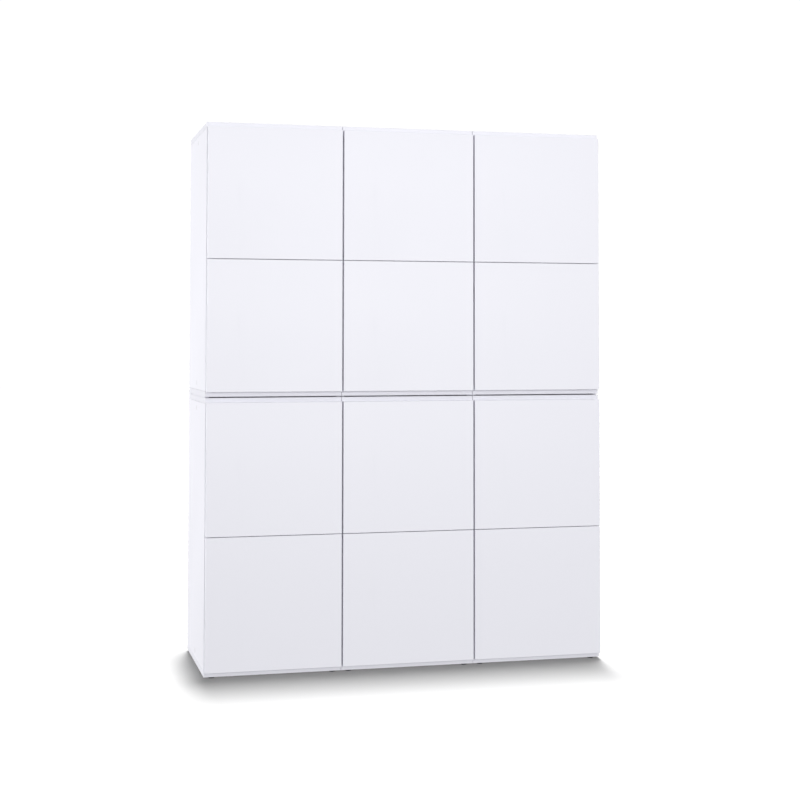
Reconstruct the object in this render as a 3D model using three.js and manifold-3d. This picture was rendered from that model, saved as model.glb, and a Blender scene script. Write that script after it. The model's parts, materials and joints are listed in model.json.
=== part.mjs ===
// Modular parcel locker in white board: three columns of two stacked modules.
// Each module has two compartments, one above the other, each with its own door,
// two cup hinges on the right and one latch on the left.
// All sizes are in millimetres. Z is up, the doors face -Y, X runs to the viewer's right.

import * as THREE from 'three';
import { mergeVertices } from 'three/addons/utils/BufferGeometryUtils.js';
import Module from 'manifold-3d';

const wasm = await Module();
wasm.setup();

// ---------- driving dimensions ----------

const columnNames = ['left', 'middle', 'right'];
const rowNames = ['lower', 'upper'];

const columnPitch = 400;
const columnSeam = 0.8;
const moduleHeight = 796.5;
const stackGap = 3;
const footHeight = 4;
const carcassDepth = 442;

const boardThickness = 16;
const backThickness = 8;
const boardChamfer = 0.6;
const fitGap = 0.3;

const doorThickness = 16;
const doorSideInset = 1.7;
const doorEndReveal = 13.5;
const doorSeam = 1.6;
const doorChamfer = 1;
const bumperGap = 2;

const footRadius = 9;
const footSideInset = 24;
const footDepthInset = 13;
const stackRailWidth = 12;
const stackRailSetback = 18;
const stackRailGap = 0.3;

const capRadius = 7;
const outerCapHeight = 0.4;
const innerCapHeight = 1.5;
const capEndInset = 20;
const capDepth = 228;

const hingeEndInset = 70;
const cupEdgeInset = 22.5;
const cupRadius = 13;
const cupDepth = 10;
const flangeWidth = 22;
const flangeHeight = 54;
const flangeThickness = 1.2;
const hingePlateThickness = 2;
const hingePlateLength = 44;
const hingePlateHeight = 32;
const hingeArmLength = 58;
const hingeArmWidth = 11;
const hingeArmHeight = 14;
const hingeArmSetback = 3;

const strikeRod = 2.5;
const strikeSpread = 6;
const strikePlateHeight = 14;
const strikePlateWidth = 26;
const strikePlateThickness = 1.5;

const hookThickness = 4;
const hookPivotBehind = 18;
const hookPivotBelow = 12;
const hookPinRadius = 3;
const hookPinGap = 0.5;
const hookBossRadius = 8;
const hookArmHalf = 4;
const hookBeakWidth = 4.7;
const hookBeakOverlap = 3;
const hookBarGap = 1.8;
const hookSwingRoom = 8;
const hookReleaseAngle = 32;

const lockWidth = 28;
const lockWall = 3;
const lockFloor = 4;
const lockRoof = 8;
const lockSetback = 1;
const lockHookGap = 4.3;
const lockBeakGap = 5;
const lockMotorRoom = 11;

const bumperRadius = 5;
const bumperPlay = 0.4;
const bumperEndInset = 25;

// ---------- sizes that follow from them ----------

const moduleWidth = columnPitch - columnSeam;
const halfWidth = moduleWidth / 2;
const innerHalf = halfWidth - boardThickness;
const overallDepth = carcassDepth + bumperGap + doorThickness;
const doorFront = -overallDepth / 2;
const doorBack = doorFront + doorThickness;
const carcassFront = doorBack + bumperGap;
const carcassBack = overallDepth / 2;
const backFront = carcassBack - backThickness;
const doorHalf = halfWidth - doorSideInset;
const doorHeight = (moduleHeight - 2 * doorEndReveal - doorSeam) / 2;
const doorCentres = [
  doorEndReveal + doorHeight / 2,
  moduleHeight - doorEndReveal - doorHeight / 2,
];
const doorNames = ['bottom', 'top'];

// The hook reaches past the strike bar and closes between the bar and the door.
const hookArmLength = hookPivotBehind + strikeRod + hookBarGap + hookBeakWidth;
const hookBeakRise = hookPivotBelow + hookBeakOverlap;
const hookRelease = THREE.MathUtils.degToRad(hookReleaseAngle);
const hookDrop = hookArmLength * Math.sin(hookRelease) + hookArmHalf * Math.cos(hookRelease);
const strikeReach = strikeRod + hookBarGap + hookBeakWidth + hookSwingRoom;
const hookCentreX = -innerHalf + lockWidth / 2;
const strikeBarY = doorBack + strikeReach;
const hookPivotY = strikeBarY + hookPivotBehind;

// The latch case holds the hook in every place that it turns to.
const lockFront = carcassFront + lockSetback;
const lockBack = hookPivotY + hookBossRadius + lockMotorRoom + lockWall;
const lockHollowTop = hookBeakOverlap + lockBeakGap;
const lockHollowBottom = hookPivotBelow + hookDrop + lockHookGap;
const bumperHeight = bumperGap - bumperPlay;

// ---------- materials ----------

const boardWhite = { color: 0xf2f1f6, roughness: 0.42, metalness: 0 };
const doorWhite = { color: 0xf0f0f5, roughness: 0.36, metalness: 0 };
const backWhite = { color: 0xeceaf0, roughness: 0.55, metalness: 0 };
const steelGrey = { color: 0xb9bcc2, roughness: 0.32, metalness: 0.85 };

// ---------- solid helpers ----------

// Turns a closed three.js geometry into a solid that can be joined or cut.
function solidOf(geometry) {
  const plain = geometry.clone();
  plain.deleteAttribute('normal');
  plain.deleteAttribute('uv');
  const welded = mergeVertices(plain, 1e-4);
  const mesh = new wasm.Mesh({
    numProp: 3,
    vertProperties: new Float32Array(welded.attributes.position.array),
    triVerts: new Uint32Array(welded.index.array),
  });
  return new wasm.Manifold(mesh);
}

// Turns a solid back into a flat-shaded geometry.
function geometryOf(solid) {
  const mesh = solid.getMesh();
  const indexed = new THREE.BufferGeometry();
  indexed.setAttribute('position', new THREE.BufferAttribute(new Float32Array(mesh.vertProperties), 3));
  indexed.setIndex(new THREE.BufferAttribute(new Uint32Array(mesh.triVerts), 1));
  const flat = indexed.toNonIndexed();
  flat.computeVertexNormals();
  return flat;
}

function joined(solids) {
  let whole = solids[0];
  for (const piece of solids.slice(1)) {
    whole = whole.add(piece);
  }
  return whole;
}

function block(x0, x1, y0, y1, z0, z1) {
  const geometry = new THREE.BoxGeometry(x1 - x0, y1 - y0, z1 - z0);
  geometry.translate((x0 + x1) / 2, (y0 + y1) / 2, (z0 + z1) / 2);
  return solidOf(geometry);
}

// Round bar along one axis, centred on the point given.
function rod(axis, x, y, z, radius, length, sides) {
  const geometry = new THREE.CylinderGeometry(radius, radius, length, sides);
  if (axis === 'x') {
    geometry.rotateZ(Math.PI / 2);
  }
  if (axis === 'z') {
    geometry.rotateX(Math.PI / 2);
  }
  geometry.translate(x, y, z);
  return solidOf(geometry);
}

// Board whose two large faces have chamfered rims; thin is the axis of its thickness.
function board(thin, x0, x1, y0, y1, z0, z1, chamfer) {
  const spans = { x: x1 - x0, y: y1 - y0, z: z1 - z0 };
  const across = thin === 'x' ? spans.z : spans.x;
  const along = thin === 'y' ? spans.z : spans.y;
  const thickness = spans[thin];
  const outline = new THREE.Shape();
  outline.moveTo(-across / 2, -along / 2);
  outline.lineTo(across / 2, -along / 2);
  outline.lineTo(across / 2, along / 2);
  outline.lineTo(-across / 2, along / 2);
  outline.closePath();
  const geometry = new THREE.ExtrudeGeometry(outline, {
    depth: thickness - 2 * chamfer,
    bevelEnabled: true,
    bevelThickness: chamfer,
    bevelSize: chamfer,
    bevelOffset: -chamfer,
    bevelSegments: 1,
    steps: 1,
  });
  geometry.translate(0, 0, chamfer - thickness / 2);
  if (thin === 'y') {
    geometry.rotateX(Math.PI / 2);
  }
  if (thin === 'x') {
    geometry.rotateY(Math.PI / 2);
  }
  geometry.translate((x0 + x1) / 2, (y0 + y1) / 2, (z0 + z1) / 2);
  return solidOf(geometry);
}

// ---------- pieces of one module, drawn about its bottom centre ----------

function topPanel() {
  const bottom = moduleHeight - boardThickness;
  return board('z', -halfWidth, halfWidth, carcassFront, carcassBack, bottom, moduleHeight, boardChamfer);
}

function feet() {
  const pieces = [];
  for (const x of [-halfWidth + footSideInset, halfWidth - footSideInset]) {
    for (const y of [carcassFront + footDepthInset, carcassBack - footDepthInset]) {
      pieces.push(rod('z', x, y, (1 - footHeight) / 2, footRadius, footHeight + 1, 14));
    }
  }
  return pieces;
}

// Thin rails along both sides that carry the upper module on the lower one.
function stackRails() {
  const low = -(stackGap - stackRailGap);
  const front = carcassFront + stackRailSetback;
  return [-halfWidth, halfWidth - stackRailWidth].map(
    (x) => block(x, x + stackRailWidth, front, carcassBack - boardChamfer, low, 1),
  );
}

function bottomPanel(row) {
  const panel = board('z', -halfWidth, halfWidth, carcassFront, carcassBack, 0, boardThickness, boardChamfer);
  const supports = row === 'lower' ? feet() : stackRails();
  return joined([panel, ...supports]);
}

function shelfPanel() {
  const edge = innerHalf - fitGap;
  const low = (moduleHeight - boardThickness) / 2;
  return board('z', -edge, edge, carcassFront, backFront - fitGap, low, low + boardThickness, boardChamfer);
}

function backPanel() {
  const edge = innerHalf - fitGap;
  const low = boardThickness + fitGap;
  return board('y', -edge, edge, backFront, carcassBack, low, moduleHeight - low, boardChamfer);
}

function sideBoard(side) {
  const x0 = side < 0 ? -halfWidth : innerHalf;
  const low = boardThickness + fitGap;
  return board('x', x0, x0 + boardThickness, carcassFront, carcassBack, low, moduleHeight - low, boardChamfer);
}

// Caps over the bolts that tie neighbouring modules together, near the panel's two ends.
function boltCaps(side, outside) {
  const caps = [];
  const y = carcassFront + capDepth;
  for (const z of [boardThickness + capEndInset, moduleHeight - boardThickness - capEndInset]) {
    const inner = side * (innerHalf - innerCapHeight / 2 + 0.5);
    caps.push(rod('x', inner, y, z, capRadius, innerCapHeight + 1, 12));
    if (outside) {
      const outer = side * (halfWidth + outerCapHeight / 2 - 0.5);
      caps.push(rod('x', outer, y, z, capRadius, outerCapHeight + 1, 16));
    }
  }
  return caps;
}

// Cup hinge arm on its mounting plate, on the inner face of the right panel.
function hingeArm(z) {
  const wall = innerHalf + 0.5;
  const plateFace = innerHalf - hingePlateThickness;
  const front = carcassFront + hingeArmSetback;
  const armFace = plateFace - hingeArmWidth;
  const half = hingeArmHeight / 2;
  const plate = block(
    plateFace, wall, front + 8, front + 8 + hingePlateLength,
    z - hingePlateHeight / 2, z + hingePlateHeight / 2,
  );
  const arm = block(armFace, plateFace + 1, front, front + hingeArmLength, z - half, z + half);
  const nose = new THREE.BoxGeometry(8, 8, hingeArmHeight + 2);
  nose.rotateZ(Math.PI / 4);
  nose.translate(armFace, front + hingeArmLength, z);
  return plate.add(arm.subtract(solidOf(nose)));
}

// Latch case on the inner face of the left panel: a box open at its front, with the hook's pin across it.
function lockCase(z) {
  const left = -innerHalf - 0.5;
  const right = -innerHalf + lockWidth;
  const outer = block(
    left, right, lockFront, lockBack,
    z - lockHollowBottom - lockFloor, z + lockHollowTop + lockRoof,
  );
  const hollow = block(
    -innerHalf + lockWall, right - lockWall, lockFront - 1, lockBack - lockWall,
    z - lockHollowBottom, z + lockHollowTop,
  );
  const pinLength = lockWidth - lockWall;
  const pin = rod('x', hookCentreX, hookPivotY, z - hookPivotBelow, hookPinRadius, pinLength, 12);
  return outer.subtract(hollow).add(pin);
}

function lockSide(outside) {
  const pieces = [sideBoard(-1), ...boltCaps(-1, outside)];
  for (const centre of doorCentres) {
    pieces.push(lockCase(centre));
  }
  return joined(pieces);
}

function hingeSide(outside) {
  const pieces = [sideBoard(1), ...boltCaps(1, outside)];
  for (const centre of doorCentres) {
    for (const end of [-1, 1]) {
      pieces.push(hingeArm(centre + end * (doorHeight / 2 - hingeEndInset)));
    }
  }
  return joined(pieces);
}

// Loop of round bar standing on a plate behind the door; the hook closes in front of its crossbar.
function strike(z) {
  const plateBack = doorBack + strikePlateThickness;
  const halfPlate = strikePlateWidth / 2;
  const pieces = [
    block(
      hookCentreX - halfPlate, hookCentreX + halfPlate, doorBack - 0.5, plateBack,
      z - strikePlateHeight / 2, z + strikePlateHeight / 2,
    ),
    rod('x', hookCentreX, strikeBarY, z, strikeRod, 2 * (strikeSpread + strikeRod), 8),
  ];
  for (const side of [-1, 1]) {
    const x = hookCentreX + side * strikeSpread;
    pieces.push(rod('y', x, doorBack + strikeReach / 2, z, strikeRod - 0.1, strikeReach, 8));
  }
  return joined(pieces);
}

function door(index) {
  const centre = doorCentres[index];
  const low = centre - doorHeight / 2;
  const high = centre + doorHeight / 2;
  let leaf = board('y', -doorHalf, doorHalf, doorFront, doorBack, low, high, doorChamfer);
  const cupX = doorHalf - cupEdgeInset;
  for (const end of [-1, 1]) {
    const z = centre + end * (doorHeight / 2 - hingeEndInset);
    const flangeBack = doorBack + flangeThickness;
    leaf = leaf.add(block(
      cupX - flangeWidth / 2, cupX + flangeWidth / 2, doorBack - 0.5, flangeBack,
      z - flangeHeight / 2, z + flangeHeight / 2,
    ));
    leaf = leaf.add(rod('y', cupX, doorBack, z, cupRadius + 3, 2 * flangeThickness, 20));
    leaf = leaf.subtract(rod('y', cupX, flangeBack, z, cupRadius, 2 * (cupDepth + flangeThickness), 20));
    const bumperZ = centre + end * (doorHeight / 2 - bumperEndInset);
    const bumperX = -halfWidth + boardThickness / 2;
    leaf = leaf.add(rod('y', bumperX, doorBack, bumperZ, bumperRadius, 2 * bumperHeight, 10));
  }
  return leaf.add(strike(centre));
}

// Latch hook, drawn released: turned down about its pin so the strike can leave.
function hook(index) {
  const outline = new THREE.Shape();
  const beakStart = hookArmLength - hookBeakWidth;
  outline.moveTo(-hookArmLength, -hookArmHalf + 2);
  outline.lineTo(-hookArmLength + 2, -hookArmHalf);
  outline.lineTo(0, -hookArmHalf);
  outline.lineTo(0, hookArmHalf + 1);
  outline.lineTo(-beakStart, hookArmHalf + 1);
  outline.lineTo(-beakStart, hookBeakRise);
  outline.lineTo(-hookArmLength + 1.5, hookBeakRise);
  outline.lineTo(-hookArmLength, hookBeakRise - 4);
  outline.closePath();
  const blade = new THREE.ExtrudeGeometry(outline, { depth: hookThickness, bevelEnabled: false });
  blade.translate(0, 0, -hookThickness / 2);
  const boss = new THREE.CylinderGeometry(hookBossRadius, hookBossRadius, hookThickness, 16);
  boss.rotateX(Math.PI / 2);
  const boreRadius = hookPinRadius + hookPinGap;
  const bore = new THREE.CylinderGeometry(boreRadius, boreRadius, hookThickness + 2, 12);
  bore.rotateX(Math.PI / 2);
  const flat = solidOf(blade).add(solidOf(boss)).subtract(solidOf(bore));
  const shape = geometryOf(flat);
  // From the drawing plane to the Y-Z plane, then down by the release angle.
  const upright = new THREE.Matrix4().makeBasis(
    new THREE.Vector3(0, 1, 0), new THREE.Vector3(0, 0, 1), new THREE.Vector3(1, 0, 0),
  );
  shape.applyMatrix4(upright);
  shape.rotateX(hookRelease);
  shape.translate(hookCentreX, hookPivotY, doorCentres[index] - hookPivotBelow);
  return solidOf(shape);
}

// ---------- the whole locker ----------

function piece(name, solid, look) {
  const mesh = new THREE.Mesh(geometryOf(solid), new THREE.MeshStandardMaterial(look));
  mesh.name = name;
  return mesh;
}

// One module: the carcass boards with their hardware, then its two doors and hooks.
function lockerModule(column, row) {
  const name = `${columnNames[column]}_${rowNames[row]}`;
  const module = new THREE.Group();
  module.name = `${name}_module`;
  module.add(piece(`${name}_top_panel`, topPanel(), boardWhite));
  module.add(piece(`${name}_bottom_panel`, bottomPanel(rowNames[row]), boardWhite));
  module.add(piece(`${name}_lock_side`, lockSide(column === 0), boardWhite));
  module.add(piece(`${name}_hinge_side`, hingeSide(column === columnNames.length - 1), boardWhite));
  module.add(piece(`${name}_shelf`, shelfPanel(), boardWhite));
  module.add(piece(`${name}_back_panel`, backPanel(), backWhite));
  for (let index = 0; index < doorNames.length; index += 1) {
    module.add(piece(`${name}_${doorNames[index]}_door`, door(index), doorWhite));
    module.add(piece(`${name}_${doorNames[index]}_hook`, hook(index), steelGrey));
  }
  return module;
}

function parcelLocker() {
  const locker = new THREE.Group();
  locker.name = 'parcel_locker';
  for (let column = 0; column < columnNames.length; column += 1) {
    for (let row = 0; row < rowNames.length; row += 1) {
      const module = lockerModule(column, row);
      module.position.x = (column - (columnNames.length - 1) / 2) * columnPitch;
      module.position.z = footHeight + row * (moduleHeight + stackGap);
      locker.add(module);
    }
  }
  return locker;
}

export default parcelLocker();
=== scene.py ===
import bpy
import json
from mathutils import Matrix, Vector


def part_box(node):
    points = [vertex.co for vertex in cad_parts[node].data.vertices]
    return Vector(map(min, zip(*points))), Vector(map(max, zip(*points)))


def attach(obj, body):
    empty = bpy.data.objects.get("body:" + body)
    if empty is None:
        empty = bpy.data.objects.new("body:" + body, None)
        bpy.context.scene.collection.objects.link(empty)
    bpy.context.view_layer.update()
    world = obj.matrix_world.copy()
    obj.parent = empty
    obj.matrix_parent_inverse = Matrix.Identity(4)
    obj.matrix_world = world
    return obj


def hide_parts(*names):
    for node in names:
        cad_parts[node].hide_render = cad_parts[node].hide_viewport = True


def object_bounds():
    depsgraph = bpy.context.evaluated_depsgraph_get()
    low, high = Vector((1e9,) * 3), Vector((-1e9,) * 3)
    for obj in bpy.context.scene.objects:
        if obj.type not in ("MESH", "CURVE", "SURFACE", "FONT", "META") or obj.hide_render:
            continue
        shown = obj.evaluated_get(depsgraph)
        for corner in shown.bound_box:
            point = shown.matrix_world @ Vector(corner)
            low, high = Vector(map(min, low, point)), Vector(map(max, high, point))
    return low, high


bl_info = {
    "name": "Parcel Locker Finishes",
    "version": (1, 0, 0),
    "blender": (4, 5, 0),
    "location": "View3D > Sidebar > Locker",
    "description": "Boards, doors, fittings and studio for a modular parcel locker",
    "category": "Object",
}

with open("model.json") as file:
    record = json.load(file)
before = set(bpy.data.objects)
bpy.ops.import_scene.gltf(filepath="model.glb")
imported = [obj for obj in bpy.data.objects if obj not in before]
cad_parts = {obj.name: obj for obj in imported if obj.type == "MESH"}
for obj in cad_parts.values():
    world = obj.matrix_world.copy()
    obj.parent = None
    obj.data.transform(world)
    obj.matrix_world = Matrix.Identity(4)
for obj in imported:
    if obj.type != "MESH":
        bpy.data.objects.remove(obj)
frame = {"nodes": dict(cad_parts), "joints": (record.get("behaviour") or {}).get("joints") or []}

import json
import math
import bmesh
import bpy
from bpy.props import FloatProperty, FloatVectorProperty, IntProperty, PointerProperty
from mathutils import Matrix, Vector

CAD_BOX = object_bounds()
MM = 0.001
TO_MM = 1000
PANEL_ENDING = "_top_panel"
MODULES = sorted(n[: -len(PANEL_ENDING)] for n in frame["nodes"] if n.endswith(PANEL_ENDING))
DOORS = ("bottom", "top")
JOINTS = {j["name"]: j for j in frame["joints"]}

# A side panel this close to the object's own side is an outer one.
OUTSIDE_REACH = 0.002
# Takes a plate's X, Y and Z to Y, Z and X, so that it stands in the plane of Y and Z.
ON_EDGE = Matrix(((0, 0, 1, 0), (1, 0, 0, 0), (0, 1, 0, 0), (0, 0, 0, 1)))
# Degrees from the hook's level place down to its released one.
HOOK_TURN = 32
# Takes +Z to the back of a closed door.
BACKWARD = (-math.pi / 2, 0, 0)

# Each softbox: name, width, height, place, target. Their powers are in LockerStudio.
SOFTBOXES = (
    ("top", 2.4, 1.6, (0.3, -3.2, 5.2), (0.0, -0.2, 1.0)),
    ("front", 5.0, 3.8, (1.3, -9.0, 1.5), (0.0, 0.0, 0.6)),
    ("side", 2.0, 2.4, (-4.5, 0.3, 0.9), (-0.6, 0.0, 0.7)),
)
# The floor's light is a row of suns that lean further back one after the other, in degrees.
FLOOR_SUNS = 4
FLOOR_SUN_ANGLE = 3.6
FLOOR_SUN_BACK = (2.3, 3.0)
FLOOR_SUN_RIGHT = (2.0, -0.15)
FLOOR_SUN_HEIGHT = 6.0
FLOOR_REACH = 30.0
SEEN_SURROUND = 1.05
WHITE = (1.0, 1.0, 1.0, 1.0)
BLACK = (0.0, 0.0, 0.0, 1.0)
BOARD_DUST = (0.62, 0.60, 0.57, 1.0)
PLASTIC_DUST = (0.5, 0.49, 0.47, 1.0)
# Edges of turned parts and plates that are sharper than this many degrees stay sharp.
SHARP_ANGLE = 35


def span(node):
    low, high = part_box(node)
    return high - low


def centre(node):
    low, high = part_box(node)
    return (low + high) / 2


# ---------- sizes and colours that can be changed ----------

def length(name, description, default, **limits):
    return FloatProperty(
        name=name, description=description, default=default, unit="LENGTH", **limits)


class LockerBoardSizes(bpy.types.PropertyGroup):
    edge_radius: length(
        "Edge radius", "Rounding of the edge bands on the carcass boards", 0.0009,
        min=0.0002, max=0.004)
    door_radius: length(
        "Door edge radius", "Rounding of the door edges", 0.0012, min=0.0002, max=0.004)
    rounding_steps: IntProperty(
        name="Rounding steps", description="Facets across each rounded edge",
        default=3, min=1, max=8)
    thickness: length(
        "Board thickness", "Thickness of the carcass boards and the doors",
        span(MODULES[0] + PANEL_ENDING).z)


class LockerFittingSizes(bpy.types.PropertyGroup):
    cup_radius: length("Cup radius", "Inner radius of the hinge cup", 0.013)
    cup_depth: length("Cup depth", "Depth of the hinge cup below the back of the door", 0.010)
    cup_inset: length(
        "Cup inset", "From the hinge edge of the door to the middle of the cup", 0.0225)
    hinge_inset: length(
        "Hinge inset", "From the end of the door to the middle of each hinge", 0.070)
    arm_length: length("Arm length", "Length of the hinge arm along the side panel", 0.058)
    foot_radius: length("Foot radius", "Radius of the feet under the lower modules", 0.009)
    foot_side_inset: length(
        "Foot side inset", "From the side of the module to the middle of a foot", 0.024)
    foot_depth_inset: length(
        "Foot depth inset", "From the front or back of the carcass to the middle of a foot", 0.013)
    rail_width: length("Rail width", "Width of the stacking rails under the upper modules", 0.012)
    rail_setback: length(
        "Rail setback", "From the front of the carcass to the front of a stacking rail", 0.018)
    cap_radius: length("Cap radius", "Radius of the caps over the connecting bolts", 0.007)
    cap_end_inset: length(
        "Cap end inset", "From the end of the side panel to the middle of a cap", 0.0197)
    cap_depth: length("Cap depth", "From the front of the carcass to the middle of a cap", 0.228)
    bumper_radius: length("Bumper radius", "Radius of the soft bumpers behind the doors", 0.005)
    bumper_inset: length(
        "Bumper inset", "From the end of the door to the middle of a bumper", 0.025)


def colour(name, description, default):
    return FloatVectorProperty(
        name=name, description=description, subtype="COLOR", size=3, min=0, max=1, default=default)


class LockerColours(bpy.types.PropertyGroup):
    board: colour("Board", "White melamine on the carcass boards", (0.84, 0.84, 0.90))
    door: colour("Door", "White satin lacquer on the doors", (0.83, 0.83, 0.893))
    band: colour("Edge band", "White edge band on the boards", (0.80, 0.80, 0.86))
    back: colour("Back", "White thin back board", (0.76, 0.76, 0.79))
    rubber: colour("Feet", "Black plastic of the feet", (0.008, 0.008, 0.009))
    cap: colour("Caps", "White plastic of the bolt caps", (0.70, 0.70, 0.73))
    nickel: colour("Nickel", "Nickel plating on the hinges", (0.70, 0.69, 0.67))
    zinc: colour("Zinc", "Zinc plating on the latch parts", (0.60, 0.62, 0.65))
    case: colour("Latch case", "Dark grey plastic of the latch cases", (0.055, 0.058, 0.065))
    bumper: colour("Bumper", "Clear soft plastic of the bumpers", (0.62, 0.63, 0.66))
    floor: colour("Floor", "Studio floor", (0.20, 0.20, 0.20))

def amount(name, description, default):
    return FloatProperty(name=name, description=description, default=default)


class LockerStudio(bpy.types.PropertyGroup):
    camera_place: FloatVectorProperty(
        name="Camera place", description="Where the camera stands",
        subtype="TRANSLATION", size=3, default=(-1.1299, -4.893, 0.9589))
    camera_turn: FloatProperty(
        name="Camera turn", description="Turn of the camera to the right",
        subtype="ANGLE", default=math.radians(15.005))
    camera_tilt: FloatProperty(
        name="Camera tilt", description="Upward tilt of the camera",
        subtype="ANGLE", default=math.radians(2.468))
    lens: amount("Lens", "Focal length in millimetres", 72.68)
    shift_across: amount("Shift across", "Sideways lens shift", -0.0605)
    shift_up: amount("Shift up", "Upward lens shift", -0.1583)
    world_light: amount("World light", "Strength of the white surround", 0.44)
    floor_light: amount("Floor light", "Strength of the light on the floor", 13.2)
    floor_fill: amount("Floor fill", "Strength of the light that lifts the floor's shadow", 2.6)
    floor_bounce: amount("Floor bounce", "Brightness of the floor as it lights the locker", 0.34)
    front_light: amount("Front light", "Power of the front softbox", 432.0)
    side_light: amount("Side light", "Power of the left softbox", 160.0)
    top_light: amount("Top light", "Power of the overhead softbox", 52.0)


# ---------- shader node groups ----------

def new_group(name, inputs, outputs):
    group = bpy.data.node_groups.new(name, "ShaderNodeTree")
    for label, default in inputs:
        socket = group.interface.new_socket(label, in_out="INPUT", socket_type="NodeSocketFloat")
        socket.default_value = default
    for label in outputs:
        group.interface.new_socket(label, in_out="OUTPUT", socket_type="NodeSocketFloat")
    entry = group.nodes.new("NodeGroupInput")
    leave = group.nodes.new("NodeGroupOutput")
    entry.location = (-900, 0)
    leave.location = (700, 0)
    return group, entry, leave


def math_node(tree, operation, a, b, clamp=False):
    node = tree.nodes.new("ShaderNodeMath")
    node.operation = operation
    node.use_clamp = clamp
    for socket, value in zip(node.inputs, (a, b)):
        if isinstance(value, (int, float)):
            socket.default_value = value
        else:
            tree.links.new(value, socket)
    return node.outputs[0]


def noise_node(tree, vector, scale, detail, roughness=0.5):
    node = tree.nodes.new("ShaderNodeTexNoise")
    node.inputs["Detail"].default_value = detail
    node.inputs["Roughness"].default_value = roughness
    tree.links.new(vector, node.inputs["Vector"])
    if isinstance(scale, (int, float)):
        node.inputs["Scale"].default_value = scale
    else:
        tree.links.new(scale, node.inputs["Scale"])
    return node.outputs["Fac"]


def ramp(tree, value, low, high):
    node = tree.nodes.new("ShaderNodeMapRange")
    node.interpolation_type = "SMOOTHSTEP"
    tree.links.new(value, node.inputs["Value"])
    node.inputs["From Min"].default_value = low
    node.inputs["From Max"].default_value = high
    return node.outputs["Result"]


def surface_group():
    """Fine grain, broad unevenness and hair scuffs of a hard surface."""
    group, entry, leave = new_group(
        "Hard Surface Detail",
        (("Grain Scale", 900.0), ("Patch Scale", 4.0), ("Scuff Scale", 30.0)),
        ("Grain", "Patch", "Scuff"))
    coords = group.nodes.new("ShaderNodeTexCoord").outputs["Object"]
    grain = noise_node(group, coords, entry.outputs["Grain Scale"], 2.0)
    patch = noise_node(group, coords, entry.outputs["Patch Scale"], 3.0, 0.55)
    stretch = group.nodes.new("ShaderNodeMapping")
    stretch.inputs["Scale"].default_value = (1.0, 1.0, 0.08)
    stretch.inputs["Rotation"].default_value = (0.3, 0.5, 0.9)
    group.links.new(coords, stretch.inputs["Vector"])
    lines = noise_node(group, stretch.outputs["Vector"], entry.outputs["Scuff Scale"], 6.0, 0.7)
    scuff = ramp(group, lines, 0.62, 0.74)
    for name, value in (("Grain", grain), ("Patch", patch), ("Scuff", scuff)):
        group.links.new(value, leave.inputs[name])
    return group


def dust_group():
    """Settled dust: more of it on faces that look up, broken up by noise."""
    group, entry, leave = new_group(
        "Settled Dust", (("Dust Scale", 14.0), ("Reach", 0.5)), ("Dust",))
    geometry = group.nodes.new("ShaderNodeNewGeometry")
    split = group.nodes.new("ShaderNodeSeparateXYZ")
    group.links.new(geometry.outputs["Normal"], split.inputs[0])
    upward = ramp(group, split.outputs["Z"], 0.3, 1.0)
    coords = group.nodes.new("ShaderNodeTexCoord").outputs["Object"]
    noise = noise_node(group, coords, entry.outputs["Dust Scale"], 5.0, 0.6)
    cloud = ramp(group, noise, 0.35, 0.75)
    part = math_node(group, "MULTIPLY", upward, cloud)
    dust = math_node(group, "MULTIPLY", part, entry.outputs["Reach"])
    group.links.new(dust, leave.inputs["Dust"])
    return group


def brushed_group():
    """Fine drawn lines of plated or brushed metal."""
    group, entry, leave = new_group(
        "Drawn Lines", (("Line Scale", 800.0), ("Stretch", 0.02)), ("Lines",))
    coords = group.nodes.new("ShaderNodeTexCoord").outputs["Object"]
    split = group.nodes.new("ShaderNodeSeparateXYZ")
    group.links.new(coords, split.inputs[0])
    join = group.nodes.new("ShaderNodeCombineXYZ")
    group.links.new(split.outputs["X"], join.inputs["X"])
    squeezed = math_node(group, "MULTIPLY", split.outputs["Y"], entry.outputs["Stretch"])
    group.links.new(squeezed, join.inputs["Y"])
    group.links.new(split.outputs["Z"], join.inputs["Z"])
    lines = noise_node(group, join.outputs["Vector"], entry.outputs["Line Scale"], 3.0, 0.6)
    group.links.new(lines, leave.inputs["Lines"])
    return group


def use_group(tree, group, **values):
    node = tree.nodes.new("ShaderNodeGroup")
    node.node_tree = group
    for label, value in values.items():
        node.inputs[label.replace("_", " ")].default_value = value
    return node.outputs


# ---------- materials ----------

def shade(tint, factor):
    return (tint[0] * factor, tint[1] * factor, tint[2] * factor, 1.0)


def new_material(name):
    material = bpy.data.materials.new(name)
    material.use_nodes = True
    tree = material.node_tree
    return material, tree, tree.nodes["Principled BSDF"]


def mix_colour(tree, factor, first, second):
    node = tree.nodes.new("ShaderNodeMix")
    node.data_type = "RGBA"
    tree.links.new(factor, node.inputs["Factor"])
    for socket, value in ((node.inputs["A"], first), (node.inputs["B"], second)):
        if isinstance(value, tuple):
            socket.default_value = value
        else:
            tree.links.new(value, socket)
    return node.outputs["Result"]


def spread(tree, value, low, high):
    """Maps a 0 to 1 value to the range low to high."""
    node = tree.nodes.new("ShaderNodeMapRange")
    tree.links.new(value, node.inputs["Value"])
    node.inputs["To Min"].default_value = low
    node.inputs["To Max"].default_value = high
    return node.outputs["Result"]


def bump(tree, height, strength, distance):
    node = tree.nodes.new("ShaderNodeBump")
    node.inputs["Strength"].default_value = strength
    node.inputs["Distance"].default_value = distance
    tree.links.new(height, node.inputs["Height"])
    return node.outputs["Normal"]


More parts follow.
